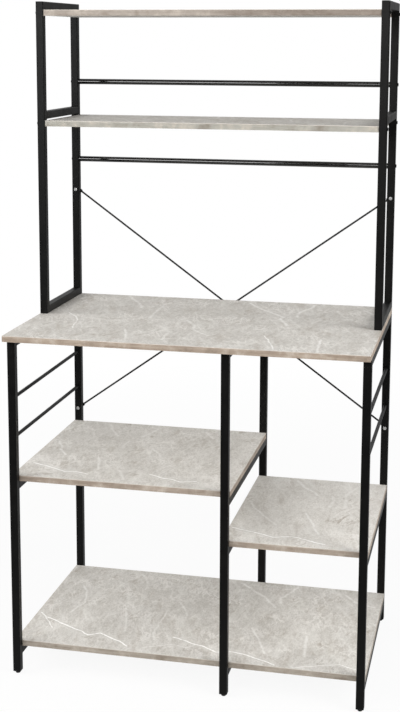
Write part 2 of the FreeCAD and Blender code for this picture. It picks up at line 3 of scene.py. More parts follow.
import bpy
from mathutils import Matrix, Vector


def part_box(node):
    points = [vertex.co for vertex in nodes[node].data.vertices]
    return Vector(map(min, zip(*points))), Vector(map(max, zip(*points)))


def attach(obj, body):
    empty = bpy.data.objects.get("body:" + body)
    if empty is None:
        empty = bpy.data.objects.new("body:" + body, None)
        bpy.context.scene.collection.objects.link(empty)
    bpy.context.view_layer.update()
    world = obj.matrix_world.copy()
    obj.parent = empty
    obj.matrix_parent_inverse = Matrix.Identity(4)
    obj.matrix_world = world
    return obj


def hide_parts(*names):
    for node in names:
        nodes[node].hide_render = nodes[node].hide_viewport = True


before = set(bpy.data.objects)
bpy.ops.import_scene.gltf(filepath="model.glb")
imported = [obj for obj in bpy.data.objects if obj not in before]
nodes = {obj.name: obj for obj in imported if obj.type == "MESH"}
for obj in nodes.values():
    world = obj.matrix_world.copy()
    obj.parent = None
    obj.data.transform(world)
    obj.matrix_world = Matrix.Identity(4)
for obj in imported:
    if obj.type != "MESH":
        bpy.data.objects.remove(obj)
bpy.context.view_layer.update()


# Ladder frames: three welded ladders of 20 mm square steel tube, at the left, right of the middle and at
# the right. Each has a front leg, a rear leg and rails that carry the boards, and the outer two have rungs.
# They are welded first and then powder coated black in one piece, so all their tubes share one skin.
LEGS = [f"{side}_{end}" for side in ("left", "middle", "right") for end in ("front", "rear")]
RAILS = [name for name in nodes if "_frame_" in name and name.endswith("_rail")]
RUNGS = [f"{side}_{level}_rung" for side in ("left", "right") for level in ("upper", "lower")]


def fill(tree, socket, value):
    """Links a value that is a socket to another socket, and sets any other value on it."""
    if isinstance(value, bpy.types.NodeSocket):
        tree.links.new(value, socket)
    else:
        socket.default_value = value


def put(tree, kind, *places, mode=None, **named):
    """Adds a node to a tree and sets its mode of working and its inputs, in order or by name."""
    made = tree.nodes.new(kind if kind.startswith("GeometryNode") else "ShaderNode" + kind)
    if mode:
        setattr(made, "operation" if hasattr(made, "operation") else "mode", mode)
    for where, value in enumerate(places):
        fill(tree, made.inputs[where], value)
    for title, value in named.items():
        fill(tree, made.inputs[title.replace("_", " ")], value)
    return made


def effect(name, takes, gives):
    """Starts a shader node group, and returns it with its input and output sockets."""
    group = bpy.data.node_groups.new(name, "ShaderNodeTree")
    for title, kind in takes.items():
        group.interface.new_socket(title, in_out="INPUT", socket_type="NodeSocket" + kind)
    for title in gives:
        group.interface.new_socket(title, in_out="OUTPUT", socket_type="NodeSocketFloat")
    return group, group.nodes.new("NodeGroupInput").outputs, group.nodes.new("NodeGroupOutput").inputs


def place_effect(tree, group, **named):
    """Places a node group in a material, with its own values, and returns what it puts out."""
    made = tree.nodes.new("ShaderNodeGroup")
    made.node_tree = group
    for title, value in named.items():
        fill(tree, made.inputs[title], value)
    return made.outputs


def tone(red, green, blue):
    """A colour as it is read off a screen, from 0 to 255, for a shader."""
    levels = [level / 255 for level in (red, green, blue)]
    linear = [level / 12.92 if level <= 0.04 else ((level + 0.055) / 1.055) ** 2.4 for level in levels]
    return (*linear, 1.0)


def blend_tones(tree, share, low, high):
    """Mixes two colours by a mask. Each of the three may be a socket."""
    mix = tree.nodes.new("ShaderNodeMix")
    mix.data_type = "RGBA"
    inputs = {socket.identifier: socket for socket in mix.inputs}
    fill(tree, inputs["Factor_Float"], share)
    fill(tree, inputs["A_Color"], low)
    fill(tree, inputs["B_Color"], high)
    return next(socket for socket in mix.outputs if socket.identifier == "Result_Color")


def spread(tree, value, low, high, to_low=0.0, to_high=1.0):
    """Maps a value from one range to another, and keeps it inside."""
    return put(tree, "MapRange", value, low, high, to_low, to_high).outputs[0]


def start_material(name, specular):
    """A new material, its tree, its shader and the coordinates of the piece that wears it."""
    material = bpy.data.materials.new(name)
    material.use_nodes = True
    tree = material.node_tree
    shader = tree.nodes["Principled BSDF"]
    shader.inputs["Specular IOR Level"].default_value = specular
    return material, tree, shader, tree.nodes.new("ShaderNodeTexCoord").outputs["Object"]


def feed(tree, shader, base, rough, height, strength, distance):
    """Links colour, roughness and a bump height to a shader."""
    bump = put(tree, "Bump", Strength=strength, Distance=distance, Height=height)
    tree.links.new(base, shader.inputs["Base Color"])
    tree.links.new(rough, shader.inputs["Roughness"])
    tree.links.new(bump.outputs[0], shader.inputs["Normal"])


def dress(material, *names):
    """Puts a material on CAD nodes, in the slots that they have."""
    for name in names:
        for slot in nodes[name].material_slots:
            slot.material = material


cured_skin, skin_in, skin_out = effect(
    "cured_skin", {"Place": "Vector", "Peel": "Float"}, ("Peel", "Mottle"))
peel = put(cured_skin, "TexNoise", Vector=skin_in["Place"], Scale=skin_in["Peel"], Detail=2.0,
           Roughness=0.55).outputs["Fac"]
cloud = put(cured_skin, "TexNoise", Vector=skin_in["Place"], Scale=22.0, Detail=5.0,
            Roughness=0.6).outputs["Fac"]
cured_skin.links.new(peel, skin_out["Peel"])
cured_skin.links.new(spread(cured_skin, cloud, 0.3, 0.7), skin_out["Mottle"])


def coat(name, specular, dark, light, smooth, rough):
    """A black coat with the fine orange peel of cured powder, and slightly uneven gloss."""
    material, tree, shader, place = start_material(name, specular)
    skin = place_effect(tree, cured_skin, Place=place, Peel=700.0)
    base = blend_tones(tree, skin["Mottle"], tone(*dark), tone(*light))
    gloss = spread(tree, skin["Mottle"], 0.0, 1.0, smooth, rough)
    feed(tree, shader, base, gloss, skin["Peel"], strength=0.12, distance=0.0004)
    return material


black_powder_coat = coat("black_powder_coat", specular=0.18, dark=(8, 8, 8), light=(13, 13, 12),
                         smooth=0.38, rough=0.48)
dress(black_powder_coat, *[f"{leg}_leg" for leg in LEGS], *RAILS, *RUNGS)


# Weld beads of the ladders: each rail is welded to its legs along both sides and underneath, and each rung
# all round. The beads ripple where the welder moved on, and the coat covers them.
BEAD_RADIUS = 0.0015
BEAD_SUNK = 0.0012
BEAD_SIDES = 8
RIPPLE_LENGTH = 0.0032
RIPPLE_STEPS = 5.0
RIPPLE_MEAN, RIPPLE_SWING = 0.94, 0.13
SEAM_DEPTH = 0.0005
SEAM_BELOW_BOARD = 0.004
SEAM_CORNER_HEIGHT, SEAM_CORNER_WIDTH = 0.0022, 0.0026
RUNG_SEAM_POINTS = 20


def reckon(tree, mode, *values):
    """One sum on numbers or masks."""
    return put(tree, "Math", *values, mode=mode).outputs[0]


weld_bead = bpy.data.node_groups.new("weld_bead", "GeometryNodeTree")
for title, kind in (("Paths", "Geometry"), ("Radius", "Float"), ("Ripple", "Float"), ("Coat", "Material")):
    weld_bead.interface.new_socket(title, in_out="INPUT", socket_type="NodeSocket" + kind)
weld_bead.interface.new_socket("Beads", in_out="OUTPUT", socket_type="NodeSocketGeometry")
given = weld_bead.nodes.new("NodeGroupInput").outputs
path = put(weld_bead, "GeometryNodeMeshToCurve", Mesh=given["Paths"]).outputs[0]
step = reckon(weld_bead, "DIVIDE", given["Ripple"], RIPPLE_STEPS)
path = put(weld_bead, "GeometryNodeResampleCurve", mode="LENGTH", Curve=path, Length=step).outputs[0]
run = put(weld_bead, "GeometryNodeSplineParameter").outputs["Length"]
ripples = reckon(weld_bead, "DIVIDE", run, given["Ripple"])
wave = reckon(weld_bead, "SINE", reckon(weld_bead, "MULTIPLY", ripples, math.tau))
swell = reckon(weld_bead, "MULTIPLY_ADD", wave, RIPPLE_SWING, RIPPLE_MEAN)
thick = reckon(weld_bead, "MULTIPLY", swell, given["Radius"])
ring = put(weld_bead, "GeometryNodeCurvePrimitiveCircle", Resolution=BEAD_SIDES,
           Radius=1.0).outputs["Curve"]
beads = put(weld_bead, "GeometryNodeCurveToMesh", Curve=path, Profile_Curve=ring, Scale=thick,
            Fill_Caps=True).outputs[0]
beads = put(weld_bead, "GeometryNodeSetShadeSmooth", Geometry=beads).outputs[0]
beads = put(weld_bead, "GeometryNodeRealizeInstances", Geometry=beads).outputs[0]
beads = put(weld_bead, "GeometryNodeSetMaterial", Geometry=beads, Material=given["Coat"]).outputs[0]
weld_bead.links.new(beads, weld_bead.nodes.new("NodeGroupOutput").inputs["Beads"])


def new_object(name, data):
    """A new object in the scene, at the origin."""
    made = bpy.data.objects.new(name, data)
    bpy.context.scene.collection.objects.link(made)
    return made


def grow(name, tree, paths, **sizes):
    """Runs a tree of geometry nodes over paths, and leaves what it makes as a plain mesh."""
    points, edges = [], []
    for path, closed in paths:
        first, last = len(points), len(points) + len(path) - 1
        points += path
        edges += [(i, i + 1) for i in range(first, last)]
        if closed:
            edges.append((last, first))
    mesh = bpy.data.meshes.new(name + "_paths")
    mesh.from_pydata(points, edges, [])
    piece = new_object(name, mesh)
    modifier = piece.modifiers.new(name, "NODES")
    modifier.node_group = tree
    for socket in tree.interface.items_tree:
        if socket.name in sizes:
            modifier[socket.identifier] = sizes[socket.name]
    grown = piece.evaluated_get(bpy.context.evaluated_depsgraph_get())
    piece.data = bpy.data.meshes.new_from_object(grown)
    piece.modifiers.remove(modifier)
    bpy.data.meshes.remove(mesh)
    return piece


def weld(name, paths):
    """Coated weld beads along paths, as a piece of the welded frame."""
    piece = grow(name, weld_bead, paths, Radius=BEAD_RADIUS, Ripple=RIPPLE_LENGTH, Coat=black_powder_coat)
    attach(piece, "rack")


def rail_seams(rail):
    """Where a rail meets its two legs: down one side, across its underside and up the other."""
    low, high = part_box(rail)
    left, right = low.x + BEAD_SUNK, high.x - BEAD_SUNK
    top, bend = high.z - SEAM_BELOW_BOARD, low.z + SEAM_CORNER_HEIGHT
    for face, into in ((low.y, -1), (high.y, 1)):
        deep = face + into * SEAM_DEPTH
        yield [(left, deep, top), (left, deep, bend),
               (low.x + SEAM_CORNER_WIDTH, face, low.z), (high.x - SEAM_CORNER_WIDTH, face, low.z),
               (right, deep, bend), (right, deep, top)], False


def rung_seams(rung):
    """Rings where a rung meets its two legs."""
    low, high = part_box(rung)
    radius, x, z = (high.x - low.x) / 2, (low.x + high.x) / 2, (low.z + high.z) / 2
    turns = [math.tau * i / RUNG_SEAM_POINTS for i in range(RUNG_SEAM_POINTS)]
    for face in (low.y, high.y):
        yield [(x + radius * math.cos(a), face, z + radius * math.sin(a)) for a in turns], True


weld("ladder_welds", [seam for rail in RAILS for seam in rail_seams(rail)])
weld("rung_welds", [seam for rung in RUNGS for seam in rung_seams(rung)])


# Leg plugs and levelling feet: a moulded plug is pressed into the end of each leg and carries the thread
# for a zinc stud. A small black foot is moulded on the stud, with flutes round it to turn it by hand.
PLUG_BORE = 0.0031
BORE_CHAMFER = 0.0004
PLUG_INSET = 0.00135
# A row of the flange is how far it lies inside the leg's faces, its corner radius and its height.
FLANGE_ROWS = ((0.0007, 0.0015, 0.0), (0.0002, 0.0019, 0.0002), (0.0, 0.002, 0.0006))
FLANGE_CORNER, BODY_CORNER, TIP_CORNER = 0.002, 0.0008, 0.0006
PLUG_TIP_HEIGHT, PLUG_TIP_INSET = 0.001, 0.0008
CORNER_POINTS = 8
SHARP_DEGREES = 40

black_plastic, tree, shader, place = start_material("black_plastic", specular=0.3)
skin = place_effect(tree, cured_skin, Place=place, Peel=1400.0)
base = blend_tones(tree, skin["Mottle"], tone(17, 17, 17), tone(27, 27, 27))
gloss = spread(tree, skin["Mottle"], 0.0, 1.0, 0.48, 0.6)
feed(tree, shader, base, gloss, skin["Peel"], strength=0.2, distance=0.0002)


def shell(name, material, *bodies, hollow=False):
    """A mesh of closed bodies: rows of rings, capped at both ends or joined end to end round a bore."""
    points, faces = [], []
    for rings in bodies:
        first, around = len(points), len(rings[0])
        points += [point for ring in rings for point in ring]
        for row in range(len(rings) if hollow else len(rings) - 1):
            here, above = first + row * around, first + (row + 1) % len(rings) * around
            faces += [(here + i, here + (i + 1) % around, above + (i + 1) % around, above + i)
                      for i in range(around)]
        if not hollow:
            faces.append(tuple(range(first + around - 1, first - 1, -1)))
            faces.append(tuple(range(len(points) - around, len(points))))
    mesh = bpy.data.meshes.new(name)
    mesh.from_pydata(points, [], faces)
    mesh.materials.append(material)
    mesh.shade_smooth()
    mesh.set_sharp_from_angle(angle=math.radians(SHARP_DEGREES))
    return new_object(name, mesh)


def square_ring(middle, half, corner, height):
    """A square with rounded corners round a leg's axis."""
    ring = []
    for quarter in range(4):
        out = math.radians(90 * quarter + 45)
        x = middle[0] + math.copysign(half - corner, math.cos(out))
        y = middle[1] + math.copysign(half - corner, math.sin(out))
        for i in range(CORNER_POINTS):
            angle = math.radians(90 * quarter + 90 * i / (CORNER_POINTS - 1))
            ring.append((x + corner * math.cos(angle), y + corner * math.sin(angle), height))
    return ring


def round_ring(middle, radius, height):
    """A circle with as many points as a rounded square."""
    count = 4 * CORNER_POINTS
    turns = [math.tau * (i + 0.5) / count for i in range(count)]
    return [(middle[0] + radius * math.cos(a), middle[1] + radius * math.sin(a), height) for a in turns]


def plug_rings(leg):
    """A plug from the mouth of its bore round its flange, up inside the leg and back down the bore."""
    low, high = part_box(leg)
    mouth, tip = (corner.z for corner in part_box("leg_plugs"))
    middle, half = ((low.x + high.x) / 2, (low.y + high.y) / 2), (high.x - low.x) / 2
    body = half - PLUG_INSET
    outside = [(half - inset, corner, mouth + rise) for inset, corner, rise in FLANGE_ROWS]
    outside.append((half, FLANGE_CORNER, low.z))
    outside.append((body, BODY_CORNER, low.z))
    outside.append((body, BODY_CORNER, tip - PLUG_TIP_HEIGHT))
    outside.append((body - PLUG_TIP_INSET, TIP_CORNER, tip))
    return [round_ring(middle, PLUG_BORE + BORE_CHAMFER, mouth),
            *[square_ring(middle, *row) for row in outside],
            round_ring(middle, PLUG_BORE, tip),
            round_ring(middle, PLUG_BORE, mouth + BORE_CHAMFER)]


plug = shell("moulded_leg_plugs", black_plastic, *[plug_rings(f"{leg}_leg") for leg in LEGS], hollow=True)
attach(plug, "rack")
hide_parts("leg_plugs")

# The feet's sizes are in mm, with heights from the floor. A row of the pad is its height and its radius.
PAD_ROWS = ((0.0, 4.0), (0.0, 4.7), (0.25, 5.3), (0.9, 5.9), (1.4, 6.0), (1.8, 6.0), (2.1, 6.0), (4.4, 6.0),
            (4.7, 6.0), (5.2, 6.0), (5.6, 5.85), (5.9, 5.4), (6.0, 4.8), (6.0, 3.2))
PAD_SIDES = 72
FLUTES, FLUTE_DEPTH = 12, 0.45
FLUTE_FOOT, FLUTE_TOP = 1.95, 4.55
THREAD_PITCH, THREAD_DEPTH = 1.0, 0.5
STUD_RADIUS, STUD_CHAMFER = 2.95, 0.9
STUD_FOOT, STUD_END = 5.9, 24.9
STUD_STEPS, STUD_SIDES = 96, 24


def plated(name, dark, light, metal, smooth, rough):
    """Plated steel: a metal whose bright layer is slightly cloudy."""
    material, tree, shader, place = start_material(name, specular=0.5)
    shader.inputs["Metallic"].default_value = metal
    skin = place_effect(tree, cured_skin, Place=place, Peel=2600.0)
    base = blend_tones(tree, skin["Peel"], tone(*dark), tone(*light))
    gloss = spread(tree, skin["Mottle"], 0.0, 1.0, smooth, rough)
    feed(tree, shader, base, gloss, skin["Peel"], strength=0.1, distance=0.0001)
    return material


def turned(name, middle, rows, around, radius, material):
    """A closed round piece. Each row is a height and a radius, and radius() shapes it round the axis."""
    angles = [math.tau * i / around for i in range(around)]
    rings = []
    for height, size in rows:
        turns = [(angle, radius(height, size, angle)) for angle in angles]
        rings.append([(middle[0] + reach * math.cos(angle), middle[1] + reach * math.sin(angle), height)
                      for angle, reach in turns])
    return shell(name, material, rings)


def fluted(height, size, angle):
    """Shallow flutes round the middle of a foot."""
    if FLUTE_FOOT < height * 1000 < FLUTE_TOP:
        return size - FLUTE_DEPTH / 1000 * max(0.0, math.cos(FLUTES * angle))
    return size


def threaded(height, size, angle):
    """A sharp helical thread."""
    along = (height * 1000 / THREAD_PITCH - angle / math.tau) % 1.0
    return size - THREAD_DEPTH / 1000 * abs(2 * along - 1)


zinc = plated("zinc_plate", dark=(186, 186, 184), light=(222, 223, 223), metal=0.65, smooth=0.22,
              rough=0.36)
stud_heights = [STUD_FOOT + (STUD_END - STUD_FOOT) * i / STUD_STEPS for i in range(STUD_STEPS + 1)]
for leg in LEGS:
    foot = f"{leg}_foot"
    low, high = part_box(foot)
    middle = ((low.x + high.x) / 2, (low.y + high.y) / 2)
    rows = [(low.z + height / 1000, radius / 1000) for height, radius in PAD_ROWS]
    pad = turned(f"{foot}_pad", middle, rows, PAD_SIDES, fluted, black_plastic)
    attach(pad, foot)
    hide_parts(foot)
    rows = [(low.z + height / 1000, min(STUD_RADIUS, STUD_RADIUS - STUD_CHAMFER + STUD_END - height) / 1000)
            for height in stud_heights]
    stud = turned(f"{foot}_stud", middle, rows, STUD_SIDES, threaded, zinc)
    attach(stud, foot)


# Shelf boards and worktop: 15 mm particle board faced on both sides with a printed grey marble laminate.
# The print has clouds, fine crackle and pale veins. Each board has veins of its own, but the two hutch
# shelves are cut alike.
CLOUD_SHARE, SPECK_SHARE, GRAIN_SHARE = 0.4, 0.26, 0.54
CRACKLE_BEND, CRACKLE_WIDTH, CRACKLE_SHARE = 0.06, 0.05, 0.75
HALO_SPREAD, HALO_STRENGTH = 4.5, 0.24
BORDER_SPREAD, BORDER_STRENGTH = 2.6, 0.3
VEIN_WANDER = 0.012
VEIN_PALE, VEIN_DARK = (246, 245, 242), (150, 140, 128)
GROUND_DARK, GROUND_LIGHT = (173, 168, 160), (218, 215, 210)
GROUND_LAYERS = (("Shade", 0.5, (166, 157, 146)), ("Streaks", 0.5, (219, 217, 211)),
                 ("Web", 0.75, (230, 227, 222)), ("Cracks", 0.75, (152, 141, 128)))

marble_ground, ground_in, ground_out = effect(
    "marble_ground", {"Place": "Vector"}, ("Mottle", "Streaks", "Grain", "Web", "Cracks", "Shade"))


def ground_noise(scale, detail, rough, low, high, place=None, twist=0.0):
    """Noise over the board as a mask from 0 to 1."""
    noise = put(marble_ground, "TexNoise", Vector=place or ground_in["Place"], Scale=scale, Detail=detail,
                Roughness=rough, Distortion=twist)
    return spread(marble_ground, noise.outputs["Fac"], low, high)


def drawn_out(angle, across):
    """Coordinates that stretch a pattern into streaks at an angle over the board."""
    at_angle = put(marble_ground, "Mapping", Vector=ground_in["Place"],
                   Rotation=(0.0, 0.0, math.radians(angle))).outputs[0]
    return put(marble_ground, "VectorMath", at_angle, (1.0, across, 1.0), mode="MULTIPLY").outputs[0]


def ground_lines(scale, width, twist, place=None):
    """Thin wandering lines where noise passes its middle value."""
    noise = put(marble_ground, "TexNoise", Vector=place or ground_in["Place"], Scale=scale, Detail=4.0,
                Roughness=0.6, Distortion=twist).outputs["Fac"]
    ridge = reckon(marble_ground, "ABSOLUTE", reckon(marble_ground, "SUBTRACT", noise, 0.5))
    return spread(marble_ground, ridge, 0.0, width, 1.0, 0.0)


# The ground of the print: a mottle of clouds, specks and grain, pale feathers and darker shade drawn out
# over the board, a pale web of crackle in patches, and dark cracks.
depthwise = drawn_out(90.0, 2.0)
grain = ground_noise(scale=110.0, detail=3.0, rough=0.7, low=0.35, high=0.65, place=depthwise)
clouds = ground_noise(scale=9.0, detail=8.0, rough=0.74, low=0.34, high=0.66, place=depthwise, twist=0.5)
specks = ground_noise(scale=38.0, detail=5.0, rough=0.75, low=0.37, high=0.63, place=depthwise)
mottle = reckon(marble_ground, "MULTIPLY", clouds, CLOUD_SHARE)
mottle = reckon(marble_ground, "MULTIPLY_ADD", specks, SPECK_SHARE, mottle)
mottle = reckon(marble_ground, "MULTIPLY_ADD", grain, GRAIN_SHARE, mottle)
mottle = spread(marble_ground, mottle, 0.08, 1.12)
feathers = ground_noise(scale=9.0, detail=6.0, rough=0.7, low=0.52, high=0.66, place=drawn_out(66.0, 5.0),
                        twist=0.5)
crossing = ground_noise(scale=9.0, detail=6.0, rough=0.7, low=0.53, high=0.67, place=drawn_out(-74.0, 6.0),
                        twist=0.5)
feathers = reckon(marble_ground, "MAXIMUM", feathers, crossing)
shade = ground_noise(scale=8.0, detail=7.0, rough=0.72, low=0.52, high=0.68, place=drawn_out(80.0, 4.0),
                     twist=0.7)
bends = put(marble_ground, "TexNoise", Vector=ground_in["Place"], Scale=16.0, Detail=4.0,
            Roughness=0.6).outputs["Color"]
bends = put(marble_ground, "VectorMath", bends, (CRACKLE_BEND, CRACKLE_BEND, 0.0), ground_in["Place"],
            mode="MULTIPLY_ADD").outputs[0]
cells = put(marble_ground, "TexVoronoi", Vector=bends, Scale=15.0)
cells.feature = "DISTANCE_TO_EDGE"
crackle = spread(marble_ground, cells.outputs["Distance"], 0.0, CRACKLE_WIDTH, 1.0, 0.0)
patches = ground_noise(scale=12.0, detail=3.0, rough=0.6, low=0.42, high=0.62)
web = ground_lines(scale=15.0, width=0.018, twist=0.9)
web = reckon(marble_ground, "MAXIMUM", web, reckon(marble_ground, "MULTIPLY", crackle, CRACKLE_SHARE))
web = reckon(marble_ground, "MAXIMUM", web,
             ground_lines(scale=8.0, width=0.03, twist=0.3, place=drawn_out(70.0, 3.5)))
web = reckon(marble_ground, "MULTIPLY", web, patches)
bare = ground_noise(scale=10.0, detail=3.0, rough=0.6, low=0.5, high=0.66, place=drawn_out(20.0, 1.6))
cracks = ground_lines(scale=7.0, width=0.02, twist=0.6, place=drawn_out(-64.0, 3.0))
cracks = reckon(marble_ground, "MULTIPLY", cracks, bare)
for title, mask in (("Mottle", mottle), ("Streaks", feathers), ("Grain", grain), ("Web", web),
                    ("Cracks", cracks), ("Shade", shade)):
    marble_ground.links.new(mask, ground_out[title])

# One straight stretch of a vein: a pale core with a faint halo, and a darker border beside the core.
vein_stroke, stroke_in, stroke_out = effect(
    "vein_stroke", {"Place": "Vector", "Start": "Vector", "End": "Vector", "Width": "Float"},
    ("Mask", "Border"))
along = put(vein_stroke, "VectorMath", stroke_in["End"], stroke_in["Start"], mode="SUBTRACT").outputs[0]
away = put(vein_stroke, "VectorMath", stroke_in["Place"], stroke_in["Start"], mode="SUBTRACT").outputs[0]
reach = put(vein_stroke, "VectorMath", away, along, mode="DOT_PRODUCT").outputs["Value"]
whole = put(vein_stroke, "VectorMath", along, along, mode="DOT_PRODUCT").outputs["Value"]
share = put(vein_stroke, "Math", reach, whole, mode="DIVIDE")
share.use_clamp = True
nearest = put(vein_stroke, "VectorMath", along, mode="SCALE", Scale=share.outputs[0]).outputs[0]
gap = put(vein_stroke, "VectorMath", away, nearest, mode="DISTANCE").outputs["Value"]
halo_width = reckon(vein_stroke, "MULTIPLY", stroke_in["Width"], HALO_SPREAD)
border_width = reckon(vein_stroke, "MULTIPLY", stroke_in["Width"], BORDER_SPREAD)
core = put(vein_stroke, "MapRange", gap, 0.0, stroke_in["Width"], 1.0, 0.0)
halo = put(vein_stroke, "MapRange", gap, 0.0, halo_width, HALO_STRENGTH, 0.0)
border = put(vein_stroke, "MapRange", gap, stroke_in["Width"], border_width, 1.0, 0.0)
for fade in (core, halo, border):
    fade.interpolation_type = "SMOOTHSTEP"
vein_stroke.links.new(reckon(vein_stroke, "MAXIMUM", core.outputs[0], halo.outputs[0]), stroke_out["Mask"])
vein_stroke.links.new(border.outputs[0], stroke_out["Border"])


def marble(name, veins, painted_light_shift=0):
    """The laminate of one board, with painted light on its ground: lighter by a shift in levels out of 255.

    A vein is its strength, its half width and the points that it passes, both in mm.
    """
    material, tree, shader, place = start_material(name, specular=0.25)
    ground = place_effect(tree, marble_ground, Place=place)
    wander = put(tree, "TexNoise", Vector=place, Scale=34.0, Detail=4.0, Roughness=0.65).outputs["Color"]
    wander = put(tree, "VectorMath", wander, (0.5, 0.5, 0.5), mode="SUBTRACT").outputs[0]
    drawn = put(tree, "VectorMath", wander, (VEIN_WANDER, VEIN_WANDER, 0.0), place,
                mode="MULTIPLY_ADD").outputs[0]
    drawn = put(tree, "VectorMath", drawn, (1.0, 1.0, 0.0), mode="MULTIPLY").outputs[0]
    pale, dark = 0.0, 0.0
    for strength, width, points in veins:
        points = [(x / 1000, y / 1000, 0.0) for x, y in points]
        for start, end in zip(points, points[1:]):
            stroke = place_effect(tree, vein_stroke, Place=drawn, Start=start, End=end, Width=width / 1000)
            line = reckon(tree, "MULTIPLY", stroke["Mask"], strength)
            pale = reckon(tree, "MAXIMUM", pale, line)
            line = reckon(tree, "MULTIPLY", stroke["Border"], strength * BORDER_STRENGTH)
            dark = reckon(tree, "MAXIMUM", dark, line)
    worn = put(tree, "TexNoise", Vector=place, Scale=60.0, Detail=4.0, Roughness=0.7).outputs["Fac"]
    worn = spread(tree, worn, 0.36, 0.56, 0.4, 1.0)
    # Painted light and shade: the shift makes the ground lighter or darker for the light on this board.
    base = blend_tones(tree, ground["Mottle"], tone(*[level + painted_light_shift for level in GROUND_DARK]),
                       tone(*[level + painted_light_shift for level in GROUND_LIGHT]))
    for mask, most, layer in GROUND_LAYERS:
        base = blend_tones(tree, reckon(tree, "MULTIPLY", ground[mask], most), base, tone(*layer))
    base = blend_tones(tree, reckon(tree, "MULTIPLY", dark, worn), base, tone(*VEIN_DARK))
    base = blend_tones(tree, reckon(tree, "MULTIPLY", pale, worn), base, tone(*VEIN_PALE))
    gloss = spread(tree, ground["Mottle"], 0.0, 1.0, 0.5, 0.6)
    feed(tree, shader, base, gloss, ground["Grain"], strength=0.06, distance=0.0002)
    return material


# Each board's shift is painted light (above 0) or painted shade (below 0) for the light it gets.
dress(marble("bottom_shelf_marble", (
    (1.4, 4.3, ((-371, -120), (-336, -138), (-301, -158), (-276, -175), (-249, -158), (-219, -175),
                (-186, -193), (-159, -215))),
    (1.26, 4.1, ((-440, -72), (-418, -95), (-371, -120))),
    (1.19, 2.6, ((-425, -88), (-404, -120), (-381, -155))),
    (1.19, 4.3, ((-56, -137), (-1, -162), (29, -172), (69, -197), (109, -185), (149, -195), (189, -215),
                 (224, -232))),
    (0.55, 4.3, ((-121, -217), (-86, -197), (-46, -177), (-11, -190), (9, -170))),
    (1.19, 2.9, ((269, -237), (309, -222), (347, -205), (381, -193), (404, -205), (431, -217))),
    (0.44, 5.8, ((-226, 5), (-206, -55), (-188, -130))),
    (0.4, 5.8, ((-109, 30), (-113, -55), (-113, -125), (-101, -165))),
    (0.55, 6.6, ((129, -37), (159, -95), (189, -175))),
    (0.5, 7.5, ((281, -55), (283, -105), (291, -170))),
    (0.5, 5.8, ((-386, 130), (-366, 95), (-351, 45), (-346, 15), (-366, -55))),
    (0.44, 6.6, ((-91, 75), (-71, 45), (-53, 0))),
    (0.55, 8.7, ((51, 245), (89, 205), (129, 165), (169, 105))),
    (0.55, 8.7, ((209, 255), (199, 215), (174, 165), (179, 135))),
    (0.44, 7.5, ((-241, 240), (-211, 185))),
    (0.55, 7.5, ((349, 225), (379, 185), (431, 165))),
), painted_light_shift=-2), "bottom_shelf")

dress(marble("right_shelf_marble", (
    (1.4, 4.3, ((101, -150), (151, -170), (181, -180), (211, -195), (231, -187), (256, -180), (286, -190),
                (316, -205), (341, -215))),
    (0.55, 8.7, ((206, 245), (231, 195), (266, 155), (276, 135))),
    (0.44, 7.5, ((316, 135), (323, 105), (319, 50))),
    (0.61, 6.6, ((266, -10), (291, -75), (316, -150))),
    (0.55, 6.6, ((111, 45), (126, 5), (146, -25), (181, -80), (206, -110))),
    (0.4, 7.5, ((380, 240), (350, 150), (360, 60))),
), painted_light_shift=13), "right_shelf")

dress(marble("left_shelf_marble", (
    (1.4, 4.3, ((-431, -138), (-391, -153), (-361, -170), (-331, -187), (-301, -185), (-266, -195))),
    (1.26, 4.3, ((-111, -160), (-76, -180), (-46, -187), (-26, -200), (14, -187))),
    (0.44, 7.5, ((-336, 245), (-311, 185), (-283, 140))),
    (0.5, 6.6, ((-281, -50), (-266, -95), (-251, -155))),
    (0.61, 6.6, ((-426, 55), (-406, 15), (-396, -15), (-371, -55))),
    (0.55, 6.6, ((-161, 50), (-131, 5), (-121, -15))),
    (0.4, 7.5, ((-241, 105), (-243, 40))),
    (0.4, 7.5, ((-196, -145), (-166, -215))),
    (0.5, 8.7, ((-51, 230), (-21, 175))),
    (0.44, 8.7, ((-191, 225), (-216, 145))),
), painted_light_shift=2), "left_shelf")

dress(marble("worktop_marble", (
    (0.5, 8.7, ((-285, 275), (-265, 235), (-235, 185), (-210, 125))),
    (0.44, 8.0, ((-145, 225), (-160, 175), (-160, 105), (-153, -5))),
    (0.61, 8.7, ((65, 250), (90, 210), (120, 165), (155, 125), (185, 85), (180, 65), (210, -15))),
    (0.61, 8.7, ((242, 270), (240, 225), (215, 155), (218, 95))),
    (0.85, 4.1, ((-380, 15), (-350, -25), (-330, -65), (-320, -125), (-310, -165))),
    (0.55, 6.6, ((-178, -155), (-160, -205), (-145, -265))),
    (0.85, 4.1, ((175, -145), (195, -195), (220, -280))),
    (0.55, 6.6, ((315, -155), (318, -215), (325, -290))),
    (0.44, 7.5, ((-50, -10), (-20, -65), (-10, -115), (40, -175))),
    (0.4, 7.5, ((-65, -165), (-60, -245))),
    (0.5, 7.5, ((380, 225), (410, 175))),
), painted_light_shift=-6), "worktop")

dress(marble("hutch_shelf_marble", (
    (0.55, 7.5, ((-330, -10), (-290, 60), (-250, 140), (-240, 260))),
    (0.5, 7.5, ((-60, -15), (-90, 90), (-20, 200), (-30, 280))),
    (0.55, 7.5, ((170, 0), (200, 90), (180, 190), (260, 275))),
    (0.44, 7.5, ((340, 20), (330, 150), (400, 250))),
)), "hutch_middle_shelf", "hutch_top_shelf")


# Edge banding: a 1 mm strip with a taupe print, glued round every board. Its print runs along the strip,
# and the trimmed upper arris catches the light as a thin pale line.
PRINT_STRETCH = (9.0, 9.0, 170.0)
BAND_PALE_PATCH, BAND_DARK_PATCH = (184, 174, 162), (108, 95, 83)
BAND_FADED, FADE_START, FADE_END = (86, 70, 58), -0.04, 0.1
ARRIS_TONE, ARRIS_FOOT, ARRIS_TOP = (214, 208, 199), 0.0018, 0.0004


